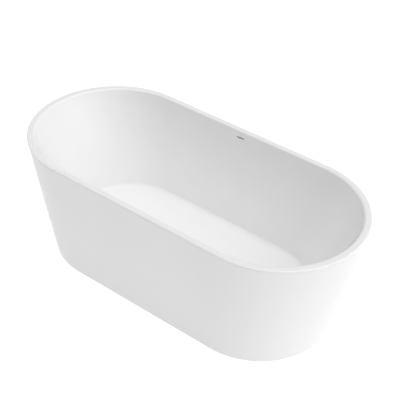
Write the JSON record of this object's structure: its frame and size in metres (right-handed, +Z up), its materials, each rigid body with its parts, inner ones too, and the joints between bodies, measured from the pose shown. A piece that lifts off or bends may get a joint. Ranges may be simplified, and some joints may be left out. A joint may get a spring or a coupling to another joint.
{
  "type": "freestanding bathtub",
  "caption": "Oval freestanding double-walled bathtub with a flat rim, sloping basin, tapered skirt, press-to-close drain, slot overflow and levelling feet on a hidden steel frame.",
  "frame": {"origin": "on the floor under the middle of the tub, at the bottom centre of its bounding box", "axes": "+X along the length, +Y across the width towards the wall with the overflow slot, +Z up"},
  "size_m": [1.6996, 0.7998, 0.6],
  "materials": {
    "basin_acrylic": "gloss",
    "skirt_acrylic": "gloss",
    "fibreglass": "matte",
    "bond_paste": "matte",
    "plywood": "matte",
    "softwood": "matte",
    "frame_steel": "satin",
    "black_plastic": "satin",
    "zinc_steel": "satin",
    "stainless_steel": "satin",
    "black_rubber": "matte",
    "chrome": "polished",
    "brass": "satin",
    "waste_plastic": "satin",
    "hose_plastic": "satin"
  },
  "bodies": {
    "tub": {"base_board": "plywood", "base_strip": "softwood", "board_screws": "zinc_steel", "bracket_screws": "zinc_steel", "clamp_screws": "zinc_steel", "clip_screw": "zinc_steel", "drain_flange": "chrome", "drain_gasket_lower": "black_rubber", "drain_gasket_upper": "black_rubber", "drain_lock_nut": "waste_plastic", "drain_shoe": "waste_plastic", "end_arms": "frame_steel", "end_cross_member_left": "frame_steel", "end_cross_member_right": "frame_steel", "foot_lock_nuts": "zinc_steel", "foot_weld_nuts": "zinc_steel", "frame_rail_far": "frame_steel", "frame_rail_near": "frame_steel", "hose_clamps": "stainless_steel", "hose_clip": "stainless_steel", "inner_laminate": "fibreglass", "inner_shell": "basin_acrylic", "mid_cross_member_left": "frame_steel", "mid_cross_member_right": "frame_steel", "outer_skirt": "skirt_acrylic", "overflow_box": "black_plastic", "overflow_gasket": "black_rubber", "overflow_hose": "hose_plastic", "rim_bond": "bond_paste", "side_arms": "frame_steel", "skirt_brackets": "zinc_steel", "skirt_laminate": "fibreglass", "slip_nut": "waste_plastic", "slip_washer": "black_rubber", "stopper_cartridge": "brass", "stopper_spring": "stainless_steel", "strip_screws": "zinc_steel", "tailpiece": "waste_plastic", "tube_end_caps": "black_plastic"},
    "stopper": {"stopper_cap": "chrome", "stopper_seal": "black_rubber", "stopper_plunger": "brass"},
    "foot_1_base": {"foot_1_pad": "black_plastic", "foot_1_sole": "black_rubber"},
    "foot_1_screw": {"foot_1_stem": "zinc_steel"},
    "foot_2_base": {"foot_2_pad": "black_plastic", "foot_2_sole": "black_rubber"},
    "foot_2_screw": {"foot_2_stem": "zinc_steel"},
    "foot_3_base": {"foot_3_pad": "black_plastic", "foot_3_sole": "black_rubber"},
    "foot_3_screw": {"foot_3_stem": "zinc_steel"},
    "foot_4_base": {"foot_4_pad": "black_plastic", "foot_4_sole": "black_rubber"},
    "foot_4_screw": {"foot_4_stem": "zinc_steel"}
  },
  "joints": [
    {"name": "stopper_lift", "type": "slide", "parent": "tub", "child": "stopper", "axis": [0, 0, 1], "range_m": [0, 0.009], "deforming": ["stopper_spring"]},
    {"name": "foot_1_height", "type": "slide", "parent": "tub", "child": "foot_1_base", "axis": [0, 0, -1], "range_m": [-0.0087, 0.0087]},
    {"name": "foot_1_turn", "type": "hinge", "parent": "foot_1_base", "child": "foot_1_screw", "pos_m": [-0.46, -0.225, 0.05], "axis": [0, 0, -1], "range_deg": [-1800, 1800]},
    {"name": "foot_2_height", "type": "slide", "parent": "tub", "child": "foot_2_base", "axis": [0, 0, -1], "range_m": [-0.0087, 0.0087]},
    {"name": "foot_2_turn", "type": "hinge", "parent": "foot_2_base", "child": "foot_2_screw", "pos_m": [0.46, -0.225, 0.05], "axis": [0, 0, -1], "range_deg": [-1800, 1800]},
    {"name": "foot_3_height", "type": "slide", "parent": "tub", "child": "foot_3_base", "axis": [0, 0, -1], "range_m": [-0.0087, 0.0087]},
    {"name": "foot_3_turn", "type": "hinge", "parent": "foot_3_base", "child": "foot_3_screw", "pos_m": [0.46, 0.225, 0.05], "axis": [0, 0, -1], "range_deg": [-1800, 1800]},
    {"name": "foot_4_height", "type": "slide", "parent": "tub", "child": "foot_4_base", "axis": [0, 0, -1], "range_m": [-0.0087, 0.0087]},
    {"name": "foot_4_turn", "type": "hinge", "parent": "foot_4_base", "child": "foot_4_screw", "pos_m": [-0.46, 0.225, 0.05], "axis": [0, 0, -1], "range_deg": [-1800, 1800]}
  ],
  "couplings": [
    {"joint": "foot_1_turn", "follows": "foot_1_height", "rad_per_m": 3590.4},
    {"joint": "foot_2_turn", "follows": "foot_2_height", "rad_per_m": 3590.4},
    {"joint": "foot_3_turn", "follows": "foot_3_height", "rad_per_m": 3590.4},
    {"joint": "foot_4_turn", "follows": "foot_4_height", "rad_per_m": 3590.4}
  ]
}
